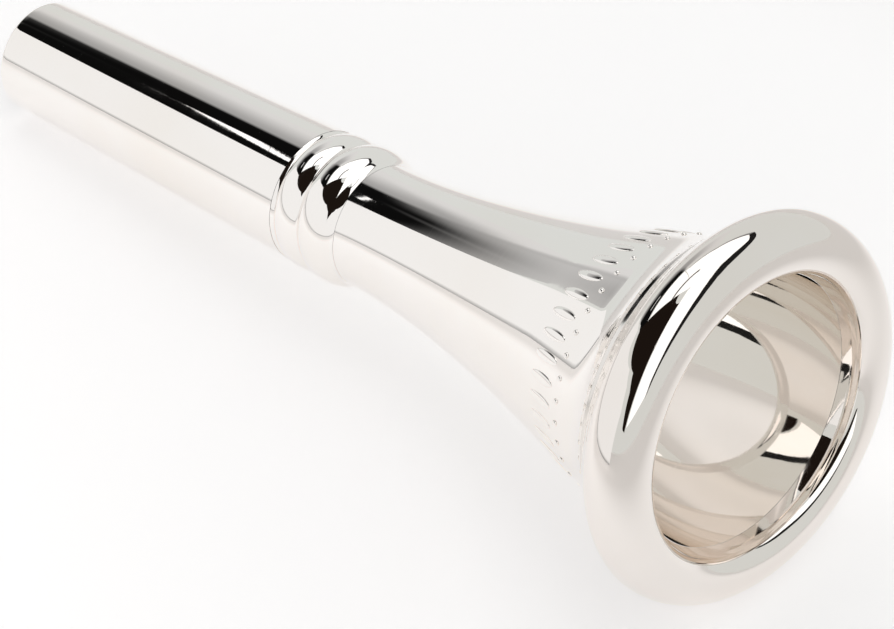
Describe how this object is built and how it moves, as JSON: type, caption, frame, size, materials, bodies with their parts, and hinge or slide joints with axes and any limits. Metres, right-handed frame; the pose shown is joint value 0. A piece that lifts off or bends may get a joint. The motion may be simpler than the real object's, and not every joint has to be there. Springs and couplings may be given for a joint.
{
  "type": "french horn mouthpiece",
  "caption": "Turned, silver-plated horn mouthpiece: tapered shank, double-bead ring, flared bowl cup and a fat rounded rim that screws off.",
  "frame": {"origin": "middle of the overall length, on the bore axis", "axes": "+X along the bore from the small end of the shank to the rim; Y and Z are radial, and the part is a body of revolution about X"},
  "size_m": [0.0652, 0.025, 0.025],
  "materials": {
    "stem": "mirror-polished silver plate on brass",
    "ferrule": "mirror-polished silver plate on brass",
    "cup": "mirror-polished silver plate on brass",
    "rim_washer": "turned and silver-plated",
    "rim": "mirror-polished silver plate on brass"
  },
  "bodies": {
    "underpart": {"stem": "stem", "ferrule": "ferrule", "cup": "cup"},
    "washer": {"rim_washer": "rim_washer"},
    "rim": {"rim": "rim"}
  },
  "joints": [
    {"name": "rim_travel", "type": "slide", "parent": "underpart", "child": "washer", "axis": [1, 0, 0], "range_m": [0, 0.0025]},
    {"name": "rim_turn", "type": "hinge", "parent": "washer", "child": "rim", "pos_m": [0.02765, 0, 0], "axis": [1, 0, 0], "range_deg": [0, 900]}
  ],
  "couplings": [
    {"joint": "rim_turn", "follows": "rim_travel", "rad_per_m": 6283.2}
  ]
}
